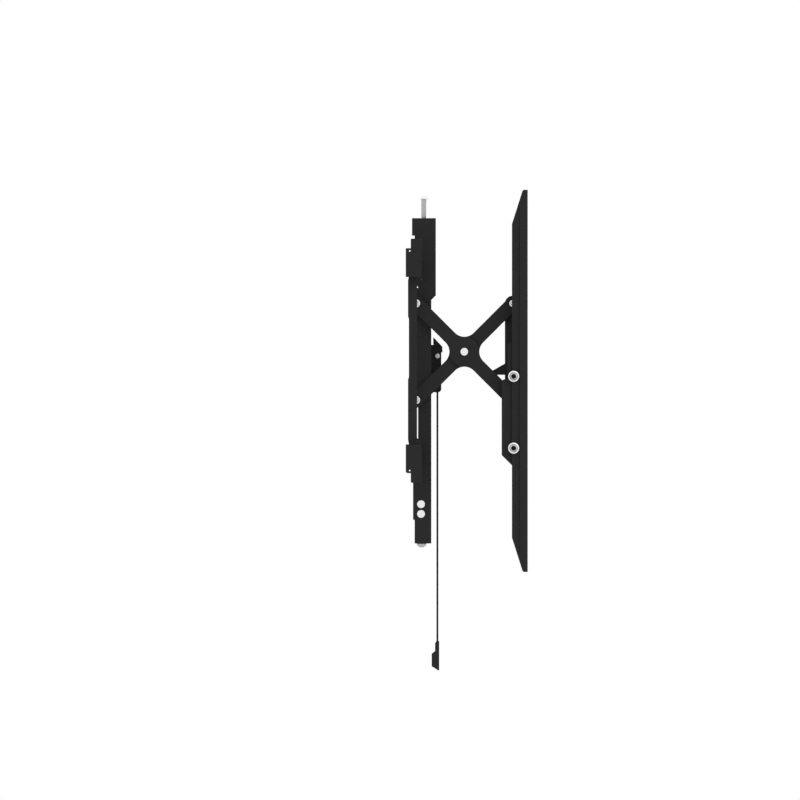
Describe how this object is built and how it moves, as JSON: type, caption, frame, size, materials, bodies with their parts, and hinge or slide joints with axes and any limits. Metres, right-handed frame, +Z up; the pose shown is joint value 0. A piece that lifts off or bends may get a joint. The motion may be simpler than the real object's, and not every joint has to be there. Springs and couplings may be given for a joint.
{
  "type": "pull-out television wall mount",
  "caption": "Pull-out television wall mount: wall rails, hanging columns, side scissors, front frame with tilting upright rails, screw height adjustment and a pull-cord latch.",
  "frame": {"origin": "on the wall, at the centre of the wall screw pattern, midway between the two wall rails", "axes": "-Y out of the wall towards the television, +X along the wall, +Z up"},
  "size_m": [0.466, 0.1403, 0.5528],
  "materials": {
    "black_powder_coat": "fine textured black powder coat on folded steel",
    "zinc_plated_steel": "bright zinc plate, lightly turned",
    "black_plastic": "moulded black plastic, fine grain",
    "washer_nylon": "black nylon washer",
    "black_cord": "braided black cord",
    "spring_steel": "drawn spring wire"
  },
  "bodies": {
    "wall_frame": {"upper_wall_rail": "black_powder_coat", "lower_wall_rail": "black_powder_coat", "upper_rail_cap_left": "black_plastic", "upper_rail_cap_right": "black_plastic", "lower_rail_cap_left": "black_plastic", "lower_rail_cap_right": "black_plastic", "side_strut_left": "black_powder_coat", "side_strut_right": "black_powder_coat", "strut_rivets": "zinc_plated_steel"},
    "hooks": {"hook_left": "black_powder_coat", "hook_right": "black_powder_coat"},
    "carriage": {"column_left": "black_powder_coat", "column_right": "black_powder_coat", "column_feet": "black_powder_coat", "height_nuts": "zinc_plated_steel", "lock_nuts": "zinc_plated_steel", "block_rivets": "zinc_plated_steel", "upper_cross_member": "black_powder_coat", "latch_cross_member": "black_powder_coat", "latch_housing": "black_powder_coat", "latch_pin": "zinc_plated_steel", "latch_rivets": "zinc_plated_steel", "latch_spring": "spring_steel"},
    "height_screw_left": {"height_screw_left": "zinc_plated_steel"},
    "height_screw_right": {"height_screw_right": "zinc_plated_steel"},
    "lock_jaw_left": {"lock_jaw_left": "black_powder_coat"},
    "lock_jaw_right": {"lock_jaw_right": "black_powder_coat"},
    "lock_screw_left": {"lock_screw_left": "zinc_plated_steel"},
    "lock_screw_right": {"lock_screw_right": "zinc_plated_steel"},
    "outer_arms": {"outer_arm_left": "black_powder_coat", "outer_arm_right": "black_powder_coat", "upper_shaft": "zinc_plated_steel", "outer_arm_spacers": "washer_nylon", "front_lower_pins": "zinc_plated_steel", "hub_pins": "zinc_plated_steel", "hub_washers": "washer_nylon"},
    "inner_arms": {"inner_arm_left": "black_powder_coat", "inner_arm_right": "black_powder_coat", "lower_shaft": "zinc_plated_steel", "inner_arm_washers": "washer_nylon"},
    "front_frame": {"front_post_left": "black_powder_coat", "front_post_right": "black_powder_coat", "upper_front_tie": "black_powder_coat", "middle_front_tie": "black_powder_coat", "lower_front_tie": "black_powder_coat", "tie_rivets": "zinc_plated_steel", "tilt_bracket_left": "black_powder_coat", "tilt_bracket_right": "black_powder_coat", "tilt_pivot_screws": "zinc_plated_steel", "tilt_lock_screws": "zinc_plated_steel", "tilt_nuts": "zinc_plated_steel", "striker": "black_powder_coat", "front_upper_pins": "zinc_plated_steel", "front_upper_washers": "washer_nylon"},
    "tv_rail_left": {"tv_rail_left": "black_powder_coat"},
    "tv_rail_right": {"tv_rail_right": "black_powder_coat"},
    "latch": {"latch_slider": "black_powder_coat", "pull_cord": "black_cord", "pull_tag": "black_plastic"}
  },
  "joints": [
    {"name": "side_shift", "type": "slide", "parent": "wall_frame", "child": "hooks", "axis": [1, 0, 0], "range_m": [-0.01, 0.01]},
    {"name": "height_adjust", "type": "slide", "parent": "hooks", "child": "carriage", "axis": [0, 0, 1], "range_m": [-0.0012, 0.004]},
    {"name": "fold", "type": "hinge", "parent": "carriage", "child": "outer_arms", "pos_m": [0, -0.0119, 0.0652], "axis": [1, 0, 0], "range_deg": [0, 30]},
    {"name": "scissor", "type": "hinge", "parent": "outer_arms", "child": "inner_arms", "pos_m": [0, -0.0674, 0.0097], "axis": [1, 0, 0], "range_deg": [-60, 0]},
    {"name": "front_level", "type": "hinge", "parent": "inner_arms", "child": "front_frame", "pos_m": [0, -0.1229, 0.0652], "axis": [1, 0, 0], "range_deg": [0, 30]},
    {"name": "tilt_left", "type": "hinge", "parent": "front_frame", "child": "tv_rail_left", "pos_m": [0, -0.1241, -0.0186], "axis": [1, 0, 0], "range_deg": [-2, 2]},
    {"name": "tilt_right", "type": "hinge", "parent": "front_frame", "child": "tv_rail_right", "pos_m": [0, -0.1241, -0.0186], "axis": [1, 0, 0], "range_deg": [-2, 2]},
    {"name": "latch_release", "type": "slide", "parent": "carriage", "child": "latch", "axis": [0, 0, 1], "range_m": [-0.006, 0.004], "stiffness_N_per_m": 400, "springref_m": 0.0012, "deforming": ["latch_spring"]},
    {"name": "height_screw_left_turn", "type": "hinge", "parent": "hooks", "child": "height_screw_left", "pos_m": [-0.165, -0.0207, 0], "axis": [0, 0, 1], "range_deg": [-1441, 433]},
    {"name": "height_screw_right_turn", "type": "hinge", "parent": "hooks", "child": "height_screw_right", "pos_m": [0.165, -0.0207, 0], "axis": [0, 0, 1], "range_deg": [-1441, 433]},
    {"name": "lock_left", "type": "slide", "parent": "carriage", "child": "lock_jaw_left", "axis": [0, 0, 1], "range_m": [-0.008, 0]},
    {"name": "lock_left_turn", "type": "hinge", "parent": "lock_jaw_left", "child": "lock_screw_left", "pos_m": [-0.165, -0.0183, 0], "axis": [0, 0, 1], "range_deg": [-3601, 1]},
    {"name": "lock_right", "type": "slide", "parent": "carriage", "child": "lock_jaw_right", "axis": [0, 0, 1], "range_m": [-0.008, 0]},
    {"name": "lock_right_turn", "type": "hinge", "parent": "lock_jaw_right", "child": "lock_screw_right", "pos_m": [0.165, -0.0183, 0], "axis": [0, 0, 1], "range_deg": [-3601, 1]}
  ],
  "couplings": [
    {"joint": "scissor", "follows": "fold", "ratio": -2},
    {"joint": "front_level", "follows": "fold", "ratio": 1},
    {"joint": "tilt_right", "follows": "tilt_left", "ratio": 1},
    {"joint": "height_screw_left_turn", "follows": "height_adjust", "rad_per_m": -6283.2},
    {"joint": "height_screw_right_turn", "follows": "height_adjust", "rad_per_m": -6283.2},
    {"joint": "lock_left_turn", "follows": "lock_left", "rad_per_m": 7854},
    {"joint": "lock_right_turn", "follows": "lock_right", "rad_per_m": 7854}
  ]
}
